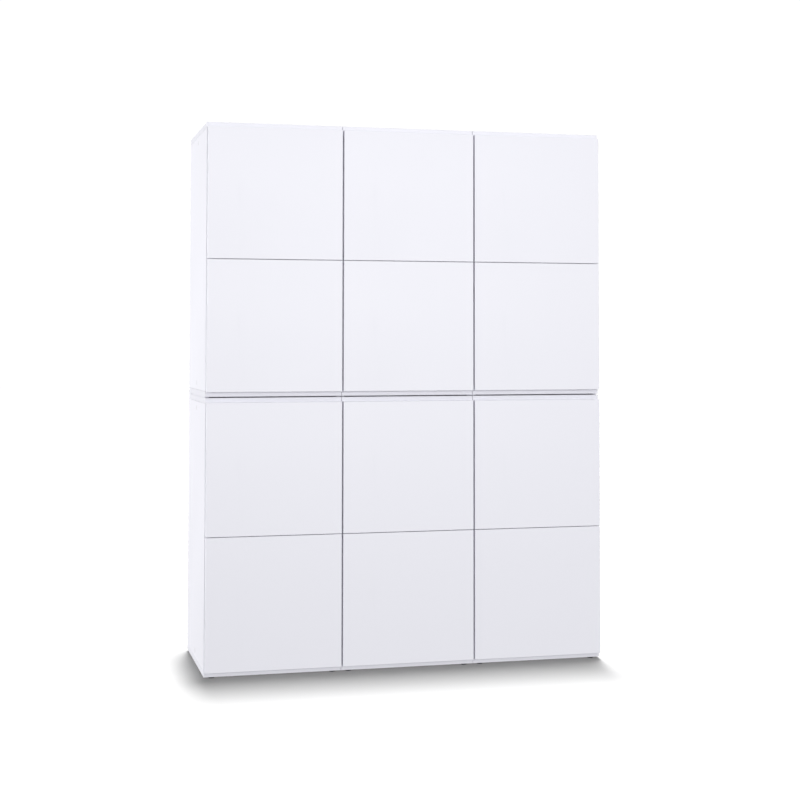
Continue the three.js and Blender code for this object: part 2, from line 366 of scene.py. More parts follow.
def coated_board(name, tint, rough, grain_scale, grain_depth, dusty, groups, specular=0.5):
    """White board or lacquer: fine pearl grain, slow unevenness, faint scuffs and dust."""
    material, tree, shader = new_material(name)
    detail = use_group(
        tree, groups["surface"], Grain_Scale=grain_scale, Patch_Scale=3.0, Scuff_Scale=22.0)
    dust = use_group(tree, groups["dust"], Dust_Scale=12.0, Reach=dusty)
    base = mix_colour(tree, detail["Patch"], shade(tint, 0.992), shade(tint, 1.008))
    scuffs = math_node(tree, "MULTIPLY", detail["Scuff"], 0.05)
    marked = mix_colour(tree, scuffs, base, shade(tint, 0.86))
    settled = mix_colour(tree, dust["Dust"], marked, BOARD_DUST)
    tree.links.new(settled, shader.inputs["Base Color"])
    gloss = spread(tree, detail["Patch"], rough - 0.05, rough + 0.06)
    worn = math_node(tree, "ADD", gloss, math_node(tree, "MULTIPLY", detail["Scuff"], 0.08))
    dulled = math_node(tree, "MULTIPLY", dust["Dust"], 0.3)
    tree.links.new(math_node(tree, "ADD", worn, dulled, True), shader.inputs["Roughness"])
    tree.links.new(bump(tree, detail["Grain"], 0.35, grain_depth), shader.inputs["Normal"])
    shader.inputs["Specular IOR Level"].default_value = specular
    return material


def plated_metal(name, tint, rough, groups):
    """Plated steel: drawn lines, cloudy plating and small marks."""
    material, tree, shader = new_material(name)
    detail = use_group(
        tree, groups["surface"], Grain_Scale=1400.0, Patch_Scale=60.0, Scuff_Scale=160.0)
    lines = use_group(tree, groups["brushed"], Line_Scale=1500.0, Stretch=0.03)
    base = mix_colour(tree, detail["Patch"], shade(tint, 0.90), shade(tint, 1.06))
    scuffs = math_node(tree, "MULTIPLY", detail["Scuff"], 0.4)
    marked = mix_colour(tree, scuffs, base, shade(tint, 0.72))
    tree.links.new(marked, shader.inputs["Base Color"])
    shader.inputs["Metallic"].default_value = 1.0
    gloss = spread(tree, detail["Patch"], rough - 0.07, rough + 0.09)
    dulled = math_node(tree, "MULTIPLY", detail["Scuff"], 0.18)
    tree.links.new(math_node(tree, "ADD", gloss, dulled, True), shader.inputs["Roughness"])
    tree.links.new(bump(tree, lines["Lines"], 0.25, 0.00002), shader.inputs["Normal"])
    return material


def moulded_plastic(name, tint, rough, groups, grain_depth=0.00006):
    """Moulded plastic: spark-eroded grain with rubbed, shinier patches."""
    material, tree, shader = new_material(name)
    detail = use_group(
        tree, groups["surface"], Grain_Scale=2200.0, Patch_Scale=40.0, Scuff_Scale=120.0)
    dust = use_group(tree, groups["dust"], Dust_Scale=60.0, Reach=0.10)
    base = mix_colour(tree, detail["Patch"], shade(tint, 0.92), shade(tint, 1.10))
    settled = mix_colour(tree, dust["Dust"], base, PLASTIC_DUST)
    tree.links.new(settled, shader.inputs["Base Color"])
    gloss = spread(tree, detail["Patch"], rough - 0.06, rough + 0.08)
    dulled = math_node(tree, "MULTIPLY", detail["Scuff"], 0.1)
    tree.links.new(math_node(tree, "ADD", gloss, dulled, True), shader.inputs["Roughness"])
    tree.links.new(bump(tree, detail["Grain"], 0.5, grain_depth), shader.inputs["Normal"])
    return material


def finishes():
    """All finishes by name, made once."""
    if "Locker Door Lacquer" not in bpy.data.materials:
        tints = bpy.context.scene.locker_colours
        groups = {
            "surface": surface_group(), "dust": dust_group(), "brushed": brushed_group()}
        coated_board("Locker Board Melamine", tints.board, 0.46, 700.0, 0.00012, 0.05, groups)
        coated_board("Locker Door Lacquer", tints.door, 0.40, 420.0, 0.00005, 0.0, groups)
        coated_board("Locker Edge Band", tints.band, 0.42, 1200.0, 0.00005, 0.03, groups)
        coated_board("Locker Back Board", tints.back, 0.60, 900.0, 0.00015, 0.05, groups, 0.3)
        plated_metal("Locker Nickel", tints.nickel, 0.26, groups)
        plated_metal("Locker Zinc", tints.zinc, 0.34, groups)
        moulded_plastic("Locker Foot Plastic", tints.rubber, 0.55, groups)
        moulded_plastic("Locker Cap Plastic", tints.cap, 0.42, groups)
        moulded_plastic("Locker Housing Plastic", tints.case, 0.45, groups)
        moulded_plastic("Locker Bumper", tints.bumper, 0.30, groups, 0.00002)
    return {m.name.replace("Locker ", ""): m
            for m in bpy.data.materials if m.name.startswith("Locker ")}


# ---------- mesh tools ----------

def smooth(mesh, angle):
    """Smooth shading, with edges sharper than the angle in degrees left sharp."""
    mesh.polygons.foreach_set("use_smooth", [True] * len(mesh.polygons))
    mesh.set_sharp_from_angle(angle=math.radians(angle))


def finish_mesh(bm, name, smooth_angle=None):
    bmesh.ops.recalc_face_normals(bm, faces=bm.faces)
    mesh = bpy.data.meshes.new(name)
    bm.to_mesh(mesh)
    bm.free()
    if smooth_angle is not None:
        smooth(mesh, smooth_angle)
    mesh.update()
    return mesh


def eased_box(size, radius, steps):
    bm = bmesh.new()
    bmesh.ops.create_cube(bm, size=1.0)
    bmesh.ops.scale(bm, vec=size, verts=bm.verts)
    bmesh.ops.bevel(
        bm, geom=list(bm.edges), offset=radius, segments=steps, profile=0.5, affect="EDGES")
    return bm


def rounded_board(name, size, thin, radius, steps):
    """Board about its own middle; slot 0 is its two faces and slot 1 its rounded edges."""
    bm = eased_box(size, radius, steps)
    for face in bm.faces:
        flat = abs(face.normal[thin]) > 0.999
        broad = face.calc_area() > size.x * size.y * size.z / size[thin] * 0.5
        face.material_index = 0 if flat and broad else 1
    return finish_mesh(bm, name)


def turned(name, profile, segments):
    """Solid of revolution about Z; the (radius, height) profile starts and ends on the axis."""
    bm = bmesh.new()
    rings = []
    for radius, height in profile:
        if radius < 1e-9:
            rings.append([bm.verts.new((0, 0, height))])
            continue
        turn = 2 * math.pi / segments
        rings.append([
            bm.verts.new((radius * math.cos(i * turn), radius * math.sin(i * turn), height))
            for i in range(segments)])
    for first, second in zip(rings, rings[1:]):
        for i in range(segments):
            j = (i + 1) % segments
            loop = [first[i % len(first)], first[j % len(first)],
                    second[j % len(second)], second[i % len(second)]]
            corners = list(dict.fromkeys(loop))
            if len(corners) > 2:
                bm.faces.new(corners)
    return finish_mesh(bm, name, SHARP_ANGLE)


def arc(cx, cy, radius, start, end, steps):
    """Points on an arc, angles in degrees."""
    return [(cx + radius * math.cos(math.radians(start + (end - start) * i / steps)),
             cy + radius * math.sin(math.radians(start + (end - start) * i / steps)))
            for i in range(steps + 1)]


def circle(radius, steps):
    return arc(0, 0, radius, 0, 360 - 360 / steps, steps - 1)


def rounded_outline(half_x, half_y, radius):
    points = []
    for sx, sy, start in ((1, 1, 0), (-1, 1, 90), (-1, -1, 180), (1, -1, 270)):
        points += arc(
            sx * (half_x - radius), sy * (half_y - radius), radius, start, start + 90, 5)
    return points


def evaluated_mesh(obj):
    return bpy.data.meshes.new_from_object(
        obj.evaluated_get(bpy.context.evaluated_depsgraph_get()))


def plate(name, outline, holes, thickness, edge):
    """Flat plate with rounded rims, in millimetres: outline in X and Y, thickness along Z."""
    curve = bpy.data.curves.new(name, "CURVE")
    curve.dimensions = "2D"
    curve.fill_mode = "BOTH"
    curve.extrude = thickness / 2 - edge
    curve.bevel_depth = edge
    curve.bevel_resolution = 1
    curve.offset = -edge
    for points in (outline, *holes):
        spline = curve.splines.new("POLY")
        spline.points.add(len(points) - 1)
        for point, (x, y) in zip(spline.points, points):
            point.co = (x, y, 0, 1)
        spline.use_cyclic_u = True
    holder = bpy.data.objects.new(name, curve)
    bpy.context.scene.collection.objects.link(holder)
    bpy.context.view_layer.update()
    raw = evaluated_mesh(holder)
    bpy.data.objects.remove(holder)
    bpy.data.curves.remove(curve)
    bm = bmesh.new()
    bm.from_mesh(raw)
    bpy.data.meshes.remove(raw)
    bmesh.ops.remove_doubles(bm, verts=bm.verts, dist=0.002)
    bmesh.ops.scale(bm, vec=(MM, MM, MM), verts=bm.verts)
    return finish_mesh(bm, name, SHARP_ANGLE)


def round_bar(name, path, radius, segments):
    """Solid bar of round section along a path of points in the plane of X and Y."""
    bm = bmesh.new()
    rings = []
    points = [Vector(p) for p in path]
    up = Vector((0, 0, 1))
    turn = 2 * math.pi / segments
    for i, point in enumerate(points):
        ahead = points[min(i + 1, len(points) - 1)] - points[max(i - 1, 0)]
        side = ahead.normalized().cross(up).normalized()
        rings.append([
            bm.verts.new(point + radius * (math.cos(k * turn) * side + math.sin(k * turn) * up))
            for k in range(segments)])
    for first, second in zip(rings, rings[1:]):
        for k in range(segments):
            after = (k + 1) % segments
            bm.faces.new((first[k], first[after], second[after], second[k]))
    bm.faces.new(rings[0])
    bm.faces.new(rings[-1])
    return finish_mesh(bm, name, smooth_angle=50)


def rounded_block(name, size, radius, steps):
    return finish_mesh(eased_box(size, radius, steps), name, smooth_angle=30)


def cut(mesh, cutters, smooth_angle=None):
    """The mesh with each (mesh, matrix) cutter taken away."""
    scene = bpy.context.scene.collection
    holder = bpy.data.objects.new("cut_holder", mesh)
    scene.objects.link(holder)
    tools = []
    for cutter, place in cutters:
        tool = bpy.data.objects.new("cut_tool", cutter)
        tool.matrix_world = place
        scene.objects.link(tool)
        modifier = holder.modifiers.new("cut", "BOOLEAN")
        modifier.operation = "DIFFERENCE"
        modifier.solver = "EXACT"
        modifier.object = tool
        tools.append(tool)
    bpy.context.view_layer.update()
    result = evaluated_mesh(holder)
    result.name = mesh.name
    for tool in tools:
        bpy.data.objects.remove(tool)
    bpy.data.objects.remove(holder)
    if smooth_angle is not None:
        smooth(result, smooth_angle)
    return result


def assembled(name, parts):
    """One mesh from (mesh, place, finish) parts; a finish is one material or a list."""
    bm = bmesh.new()
    used = []
    for mesh, place, finish in parts:
        some = finish if isinstance(finish, list) else [finish]
        part = bmesh.new()
        part.from_mesh(mesh)
        part.transform(place)
        for face in part.faces:
            material = some[min(face.material_index, len(some) - 1)]
            if material not in used:
                used.append(material)
            face.material_index = used.index(material)
        carrier = bpy.data.meshes.new("carrier")
        part.to_mesh(carrier)
        part.free()
        bm.from_mesh(carrier)
        bpy.data.meshes.remove(carrier)
    mesh = bpy.data.meshes.new(name)
    bm.to_mesh(mesh)
    bm.free()
    for material in used:
        mesh.materials.append(material)
    return mesh


def at(x=0.0, y=0.0, z=0.0, turn=None):
    place = Matrix.Translation((x, y, z))
    return place @ turn if turn is not None else place


def facing(axis):
    """Turn that takes +Z to the axis given, such as '-Y'."""
    turns = {"+X": (math.pi / 2, "Y"), "+Y": (-math.pi / 2, "X"), "-Y": (math.pi / 2, "X")}
    angle, about = turns[axis]
    return Matrix.Rotation(angle, 4, about)


def piece(name, mesh, body, place, stands_for=None, turn=(0.0, 0.0, 0.0)):
    """Puts a mesh in the scene and makes it ride on its body."""
    obj = bpy.data.objects.new(name, mesh)
    obj.location = place
    bpy.context.scene.collection.objects.link(obj)
    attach(obj, body)
    obj.rotation_euler = turn
    if stands_for:
        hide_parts(stands_for)


def screw_head(name, radius, height):
    """Domed head with a cross recess."""
    dome = turned(name, [
        (0, 0), (radius, 0), (radius, height * 0.35), (radius * 0.86, height * 0.75),
        (radius * 0.55, height * 0.97), (0, height)], 24)
    slot_size = Vector((radius * 1.25, radius * 0.26, height))
    slot = rounded_block("recess", slot_size, radius * 0.05, 1)
    top = Matrix.Translation((0, 0, height * 1.05))
    crossed = top @ Matrix.Rotation(math.pi / 2, 4, "Z")
    return cut(dome, [(slot, top), (slot.copy(), crossed)], SHARP_ANGLE)


# ---------- operators: one for each kind of piece ----------

class LOCKER_OT_boards(bpy.types.Operator):
    """Top panels, bottom panels and shelves with rounded edge bands"""
    bl_idname = "locker.boards"
    bl_label = "Carcass boards"

    def execute(self, context):
        looks = finishes()
        sizes = context.scene.locker_boards
        shared = {}
        for module in MODULES:
            for kind in ("top_panel", "bottom_panel", "shelf"):
                node = f"{module}_{kind}"
                low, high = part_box(node)
                size = high - low
                size.z = sizes.thickness
                if kind not in shared:
                    mesh = rounded_board(
                        kind, size, 2, sizes.edge_radius, sizes.rounding_steps)
                    mesh.materials.append(looks["Board Melamine"])
                    mesh.materials.append(looks["Edge Band"])
                    shared[kind] = mesh
                middle = Vector(
                    ((low.x + high.x) / 2, (low.y + high.y) / 2, high.z - size.z / 2))
                piece(f"{node}_board", shared[kind], "carcass", middle, node)
        return {"FINISHED"}


class LOCKER_OT_backs(bpy.types.Operator):
    """Thin back panels with their countersunk screws"""
    bl_idname = "locker.backs"
    bl_label = "Back panels"

    def execute(self, context):
        looks = finishes()
        size = span(f"{MODULES[0]}_back_panel")
        edge, sunk = 0.0005, 0.0014
        plain = rounded_board("back_panel", size, 1, edge, 2)
        sink = turned(
            "sink", [(0, -0.003), (0.0022, -0.003), (0.0048, 0.0008), (0, 0.0008)], 20)
        spots = [(size.x / 2 * across, size.y / 2, 0.0) for across in (-0.75, 0.0, 0.75)]
        board = cut(plain, [(sink.copy(), at(*spot, facing("+Y"))) for spot in spots])
        head = screw_head("back_screw", 0.0036, 0.0012)
        parts = [(board, Matrix.Identity(4), [looks["Back Board"], looks["Edge Band"]])]
        for x, y, z in spots:
            parts.append((head, at(x, y - sunk, z, facing("+Y")), looks["Zinc"]))
        mesh = assembled("back_panel", parts)
        for module in MODULES:
            node = f"{module}_back_panel"
            piece(f"{node}_board", mesh, "carcass", centre(node), node)
        return {"FINISHED"}


class LOCKER_OT_sides(bpy.types.Operator):
    """Side panels, and the caps over the bolts that tie the modules together"""
    bl_idname = "locker.sides"
    bl_label = "Side panels and bolt caps"

    def execute(self, context):
        looks = finishes()
        sizes = context.scene.locker_boards
        fit = context.scene.locker_fittings
        panel = span(f"{MODULES[0]}_lock_side")
        size = Vector((sizes.thickness, panel.y, panel.z))
        board = rounded_board(
            "side_panel", size, 0, sizes.edge_radius, sizes.rounding_steps)
        board.materials.append(looks["Board Melamine"])
        board.materials.append(looks["Edge Band"])
        r = fit.cap_radius
        inner = turned("bolt_cap", [
            (0, 0), (r, 0), (r, 0.0007), (r * 0.93, 0.0012), (r * 0.6, 0.00145),
            (r * 0.3, 0.0015), (r * 0.26, 0.0011), (0, 0.0011)], 32)
        outer = turned("outer_bolt_cap", [
            (0, 0), (r, 0), (r, 0.0002), (r * 0.95, 0.0004),
            (r * 0.3, 0.0004), (r * 0.26, 0.0001), (0, 0.0001)], 32)
        for mesh in (inner, outer):
            mesh.materials.append(looks["Cap Plastic"])
        outermost = max(abs(corner[0]) for corner in CAD_BOX) - OUTSIDE_REACH
        for module in MODULES:
            top_low, top_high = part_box(module + PANEL_ENDING)
            for kind, sign in (("lock_side", -1), ("hinge_side", 1)):
                node = f"{module}_{kind}"
                low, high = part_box(node)
                edge = top_low.x if sign < 0 else top_high.x
                face = edge - sign * size.x
                middle = Vector(
                    (edge - sign * size.x / 2, (low.y + high.y) / 2, (low.z + high.z) / 2))
                piece(f"{node}_board", board, "carcass", middle, node)
                y = low.y + fit.cap_depth
                inward = (0, -sign * math.pi / 2, 0)
                outward = (0, sign * math.pi / 2, 0)
                inset = fit.cap_end_inset
                for end, z in (("low", low.z + inset), ("high", high.z - inset)):
                    piece(f"{node}_{end}_inner_cap", inner, "carcass", (face, y, z),
                          turn=inward)
                    if abs(edge) > outermost:
                        piece(f"{node}_{end}_outer_cap", outer, "carcass", (edge, y, z),
                              turn=outward)
        return {"FINISHED"}


class LOCKER_OT_feet(bpy.types.Operator):
    """Black plastic feet under the lower modules"""
    bl_idname = "locker.feet"
    bl_label = "Feet"

    def execute(self, context):
        looks = finishes()
        fit = context.scene.locker_fittings
        lower = [module for module in MODULES if module.endswith("_lower")]
        height = span(f"{lower[0]}_bottom_panel").z - context.scene.locker_boards.thickness
        r = fit.foot_radius
        ease, nick, step = 0.0012, 0.0004, 0.0008
        mesh = turned("foot", [
            (0, 0), (r - ease, 0), (r - nick, nick), (r, ease), (r, height - ease),
            (r - step, height - step), (r - step, height), (0, height)], 40)
        mesh.materials.append(looks["Foot Plastic"])
        across, along = fit.foot_side_inset, fit.foot_depth_inset
        for module in lower:
            low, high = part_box(f"{module}_bottom_panel")
            for side, x in (("left", low.x + across), ("right", high.x - across)):
                for end, y in (("front", low.y + along), ("back", high.y - along)):
                    piece(f"{module}_{end}_{side}_foot", mesh, "carcass", (x, y, low.z))
        return {"FINISHED"}


class LOCKER_OT_rails(bpy.types.Operator):
    """Stacking rails along both sides under the upper modules"""
    bl_idname = "locker.rails"
    bl_label = "Stacking rails"

    def execute(self, context):
        looks = finishes()
        fit = context.scene.locker_fittings
        upper = [module for module in MODULES if module.endswith("_upper")]
        panel = span(f"{upper[0]}_bottom_panel")
        height = panel.z - context.scene.locker_boards.thickness
        back_ease, edge = 0.0006, 0.0005
        size = Vector((fit.rail_width, panel.y - fit.rail_setback - back_ease, height))
        mesh = rounded_board("stacking_rail", size, 2, edge, 2)
        mesh.materials.append(looks["Board Melamine"])
        mesh.materials.append(looks["Edge Band"])
        for module in upper:
            low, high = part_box(f"{module}_bottom_panel")
            y = low.y + fit.rail_setback + size.y / 2
            for side, x in (("left", low.x + size.x / 2), ("right", high.x - size.x / 2)):
                middle = (x, y, low.z + height / 2)
                piece(f"{module}_{side}_rail", mesh, "carcass", middle)
        return {"FINISHED"}


class LOCKER_OT_doors(bpy.types.Operator):
    """Doors with bored hinge cups, and their soft bumpers"""
    bl_idname = "locker.doors"
    bl_label = "Doors and bumpers"

    def execute(self, context):
        looks = finishes()
        sizes = context.scene.locker_boards
        fit = context.scene.locker_fittings
        size = span(f"{MODULES[0]}_top_door")
        size.y = sizes.thickness
        plain = rounded_board("door", size, 1, sizes.door_radius, sizes.rounding_steps)
        play, floor_play, overshoot = 0.0006, 0.0008, 0.002
        r = fit.cup_radius + play
        deep = -fit.cup_depth - floor_play
        drill = turned("drill", [(0, deep), (r, deep), (r, overshoot), (0, overshoot)], 40)
        bores = []
        for sign in (-1, 1):
            spot = (size.x / 2 - fit.cup_inset, size.y / 2, sign * (size.z / 2 - fit.hinge_inset))
            bores.append((drill.copy(), at(*spot, facing("+Y"))))
        leaf = cut(plain, bores)
        leaf.materials.clear()
        leaf.materials.append(looks["Door Lacquer"])
        leaf.materials.append(looks["Door Lacquer"])
        b = fit.bumper_radius
        soft = turned("bumper", [
            (0, 0), (b, 0), (b, 0.0004), (b * 0.9, 0.0011), (b * 0.6, 0.0015), (0, 0.0016)], 24)
        soft.materials.append(looks["Bumper"])
        for module in MODULES:
            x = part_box(module + PANEL_ENDING)[0].x + sizes.thickness / 2
            for which in DOORS:
                node = f"{module}_{which}_door"
                low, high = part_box(node)
                middle = Vector(
                    ((low.x + high.x) / 2, low.y + size.y / 2, (low.z + high.z) / 2))
                piece(f"{node}_leaf", leaf, node, middle, node)
                inset = fit.bumper_inset
                for end, z in (("low", low.z + inset), ("high", high.z - inset)):
                    piece(f"{node}_{end}_bumper", soft, node, (x, low.y + size.y, z),
                          turn=BACKWARD)
        return {"FINISHED"}


class LOCKER_OT_hinges(bpy.types.Operator):
    """Hinge cups in the doors and hinge arms on the side panels"""
    bl_idname = "locker.hinges"
    bl_label = "Hinges"

    def cup(self, fit, looks):
        """Cup, drawn with +Z out of the back of the door."""
        nickel = looks["Nickel"]
        r = fit.cup_radius * TO_MM
        ear_reach, ear_radius, rim = 21.5, 5.0, 3
        ears = arc(0, ear_reach, ear_radius, 20, 160, 8)
        ears += arc(0, 0, r + rim, 140, 220, 10)
        ears += arc(0, -ear_reach, ear_radius, 200, 340, 8)
        ears += arc(0, 0, r + rim, -40, 40, 10)
        flange = plate("flange", ears, [circle(r - 0.6, 40)], thickness=1.2, edge=0.25)
        deep = -fit.cup_depth
        lip = fit.cup_radius - 0.0006
        bowl = turned("bowl", [
            (0, deep), (lip - 0.001, deep), (lip, deep + 0.001), (lip, 0.0),
            (lip + 0.0005, 0.0), (lip + 0.0005, deep + 0.0006),
            (lip - 0.0006, deep - 0.0005), (0, deep - 0.0005)], 40)
        head = screw_head("cup_screw", 0.0036, 0.0009)
        pin_radius, pin_length = 0.0016, 0.019
        pin = turned(
            "pin", [(0, 0), (pin_radius, 0), (pin_radius, pin_length), (0, pin_length)], 16)
        strap = plate("strap", rounded_outline(4.0, 3.0, 2.9), [], thickness=13.0, edge=0.4)
        aside = -0.0035
        parts = [(flange, at(0, 0, 0.0006), nickel), (bowl, at(), nickel)]
        for sign in (-1, 1):
            parts.append((head, at(0, sign * ear_reach * MM, 0.0001), nickel))
        parts.append((pin, at(aside, pin_length / 2, deep + 0.0035, facing("-Y")), nickel))
        parts.append((strap, at(aside, 0, deep + 0.0040, facing("-Y")), nickel))
        return assembled("hinge_cup", parts)

    def arm(self, fit, looks):
        """Arm on its plate, drawn with +Z away from the panel and +Y towards the back."""
        long = fit.arm_length * TO_MM
        cross = [(-16, -6), (-6, -9), (-6, -22), (6, -22), (6, -9), (16, -6),
                 (16, 6), (6, 9), (6, 22), (-6, 22), (-6, 9), (-16, 6)]
        foot = plate("foot_plate", cross, [], thickness=2.0, edge=0.35)
        side = [(0.0, 2.4), (0.0, 8.5), (3.5, 12.0), (8.0, 13.0), (34.0, 13.0), (40.0, 10.5),
                (47.0, 8.6), (long - 4.0, 8.0), (long - 0.5, 5.0), (long - 0.5, 2.4)]
        body = plate("arm_body", side, [], thickness=14.0, edge=1.0)
        head = screw_head("arm_screw", 0.0032, 0.0014)
        small = screw_head("plate_screw", 0.0036, 0.0012)
        foot_place = 0.030
        parts = [(foot, at(0, foot_place, 0.001), looks["Nickel"]),
                 (body, ON_EDGE, looks["Nickel"])]
        for y, z in ((0.016, 0.0117), (0.0515, 0.0070)):
            parts.append((head, at(0, y, z), looks["Zinc"]))
        for sign in (-1, 1):
            parts.append((small, at(sign * 0.0115, foot_place, 0.0015), looks["Zinc"]))
        return assembled("hinge_arm", parts)

    def execute(self, context):
        looks = finishes()
        fit = context.scene.locker_fittings
        thickness = context.scene.locker_boards.thickness
        cup = self.cup(fit, looks)
        arm = self.arm(fit, looks)
        arm_setback = 0.003
        off_wall = (0, -math.pi / 2, 0)
        for module in MODULES:
            top_low, top_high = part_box(module + PANEL_ENDING)
            front = top_low.y + arm_setback
            wall = top_high.x - thickness
            for which in DOORS:
                node = f"{module}_{which}_door"
                low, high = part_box(node)
                inset = fit.hinge_inset
                for end, z in (("low", low.z + inset), ("high", high.z - inset)):
                    spot = (high.x - fit.cup_inset, low.y + thickness, z)
                    piece(f"{node}_{end}_hinge_cup", cup, node, spot, turn=BACKWARD)
                    piece(f"{node}_{end}_hinge_arm", arm, "carcass", (wall, front, z),
                          turn=off_wall)
        return {"FINISHED"}


class LOCKER_OT_latches(bpy.types.Operator):
    """Latch cases with their pins, hooks, and strike loops behind the doors"""
    bl_idname = "locker.latches"
    bl_label = "Latches"

    def case(self, looks):
        """Latch case, its origin where the panel's inner face meets the carcass front."""
        wide, deep, below, above, wall, setback = 28.0, 54.0, 38.0, 16.0, 3.0, 0.001
        size = Vector((wide * MM, deep * MM, (below + above) * MM))
        shell = rounded_block("case_shell", size, 0.0022, 3)
        room = Vector(((wide - 2 * wall) * MM, deep * MM, (below + above - 12) * MM))
        hollow = rounded_block("case_hollow", room, 0.0012, 2)
        middle = Vector((size.x / 2, size.y / 2 + setback, (above - below) / 2 * MM))
        inside = Matrix.Translation((0, -wall * MM, -2 * MM))
        body = cut(shell, [(hollow, inside)], smooth_angle=30)
        pin_radius, pin_length = 0.003, 0.0225
        pin = turned(
            "hook_pin", [(0, 0), (pin_radius, 0), (pin_radius, pin_length), (0, pin_length)], 24)
        head = screw_head("case_screw", 0.0028, 0.0014)
        pin_y, pin_z = 0.033, -0.012
        parts = [(body, Matrix.Translation(middle), looks["Housing Plastic"])]
        parts.append((pin, at(0.0029, pin_y, pin_z, facing("+X")), looks["Zinc"]))
        parts.append((head, at(0.0279, pin_y, pin_z, facing("+X")), looks["Zinc"]))
        for y, z in ((0.008, 0.011), (0.048, 0.011), (0.048, -0.033)):
            parts.append((head, at(0.0266, y, z, facing("+X")), looks["Zinc"]))
        return assembled("latch_housing", parts)

    def hook(self, looks):
        """Hook about its pin, in the Y-Z plane, already turned down to its released place."""
        outline = [(-27.0, -2.6), (-25.6, -4.0), (-6.9, -4.0)]
        outline += arc(0, 0, 8.0, 210, 510, 30)
        outline += [(-6.2, 5.0), (-20.8, 5.0), (-21.8, 5.5), (-22.3, 6.5), (-22.3, 14.2),
                    (-23.1, 15.0), (-25.5, 15.0), (-27.0, 11.5)]
        blade = plate("hook_blade", outline, [circle(3.5, 24)], thickness=4.0, edge=0.35)
        down = Matrix.Rotation(math.radians(HOOK_TURN), 4, "X")
        return assembled("latch_hook", [(blade, down @ ON_EDGE, looks["Zinc"])])

    def strike(self, looks):
        """Strike loop on its plate, standing out along +Z with its crossbar along X."""
        base = plate(
            "strike_plate", rounded_outline(13.0, 7.0, 2.0), [], thickness=1.5, edge=0.3)
        half, reach, bend = 6.0, 17.0, 4.0
        path = [(-half, 0.0)] + arc(-half + bend, reach - bend, bend, 180, 90, 6)
        path += arc(half - bend, reach - bend, bend, 90, 0, 6) + [(half, 0.0)]
        loop = round_bar("strike_loop", [(x * MM, y * MM, 0) for x, y in path], 0.0024, 20)
        head = screw_head("strike_screw", 0.0019, 0.0009)
        parts = [(base, at(0, 0, 0.00075), looks["Zinc"]),
                 (loop, Matrix.Rotation(math.pi / 2, 4, "X"), looks["Zinc"])]
        for sign in (-1, 1):
            parts.append((head, at(sign * 0.0107, 0, 0.0014), looks["Zinc"]))
        return assembled("strike", parts)

    def execute(self, context):
        looks = finishes()
        thickness = context.scene.locker_boards.thickness
        case = self.case(looks)
        hook = self.hook(looks)
        strike = self.strike(looks)
        for module in MODULES:
            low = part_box(module + PANEL_ENDING)[0]
            for which in DOORS:
                door = f"{module}_{which}_door"
                hook_node = f"{module}_{which}_hook"
                pivot = Vector(JOINTS[f"{hook_node}_pivot"]["pos_m"])
                height = centre(door).z
                piece(f"{module}_{which}_latch_housing", case, "carcass",
                      (low.x + thickness, low.y, height))
                piece(f"{hook_node}_blade", hook, hook_node, pivot, hook_node)
                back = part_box(door)[0].y + thickness
                piece(f"{door}_strike", strike, door, (pivot.x, back, height),
                      turn=BACKWARD)
        return {"FINISHED"}


